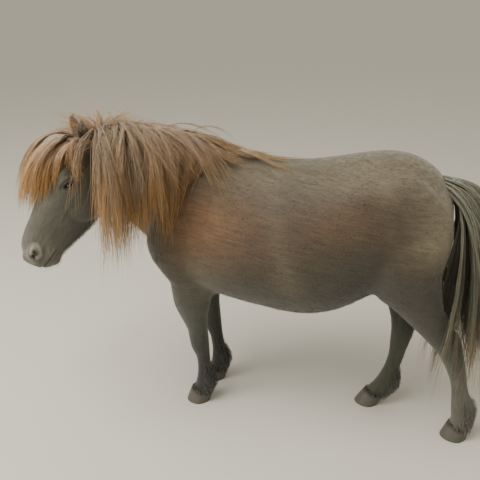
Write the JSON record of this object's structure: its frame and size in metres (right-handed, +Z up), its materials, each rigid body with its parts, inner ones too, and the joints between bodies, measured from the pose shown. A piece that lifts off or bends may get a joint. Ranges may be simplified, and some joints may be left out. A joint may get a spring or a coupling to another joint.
{
  "type": "shetland pony",
  "caption": "Standing Shetland pony with a long swept mane, full forelock and tail, head turned to its left, as a still life-size model.",
  "frame": {"origin": "middle of the bounding box, on the floor under the hooves", "axes": "+Z up; the pony faces -X and its left side is towards -Y"},
  "size_m": [1.711, 0.7024, 1.1607],
  "materials": {
    "torso": "short dark brown coat, satin",
    "neck": "short dark brown coat, satin",
    "head": "very short grey-black coat, matte",
    "left_ear": "short grey-black coat, matte",
    "right_ear": "short grey-black coat, matte",
    "left_eye": "wet dark brown eye",
    "right_eye": "wet dark brown eye",
    "mane": "long coarse hair, brown fading to rust at the tips",
    "forelock": "long coarse hair, tan and brown with rust tips",
    "tail": "long coarse hair, black-brown with rust ends",
    "left_fore_leg": "short black-brown coat, matte",
    "left_fore_hoof": "grey horn, satin",
    "right_fore_leg": "short black-brown coat, matte",
    "right_fore_hoof": "grey horn, satin",
    "left_hind_leg": "short black-brown coat, matte",
    "left_hind_hoof": "grey horn, satin",
    "right_hind_leg": "short black-brown coat, matte",
    "right_hind_hoof": "grey horn, satin"
  },
  "bodies": {
    "root": {"torso": "torso", "neck": "neck", "head": "head", "left_ear": "left_ear", "right_ear": "right_ear", "left_eye": "left_eye", "right_eye": "right_eye", "mane": "mane", "forelock": "forelock", "tail": "tail", "left_fore_leg": "left_fore_leg", "left_fore_hoof": "left_fore_hoof", "right_fore_leg": "right_fore_leg", "right_fore_hoof": "right_fore_hoof", "left_hind_leg": "left_hind_leg", "left_hind_hoof": "left_hind_hoof", "right_hind_leg": "right_hind_leg", "right_hind_hoof": "right_hind_hoof"}
  },
  "joints": []
}
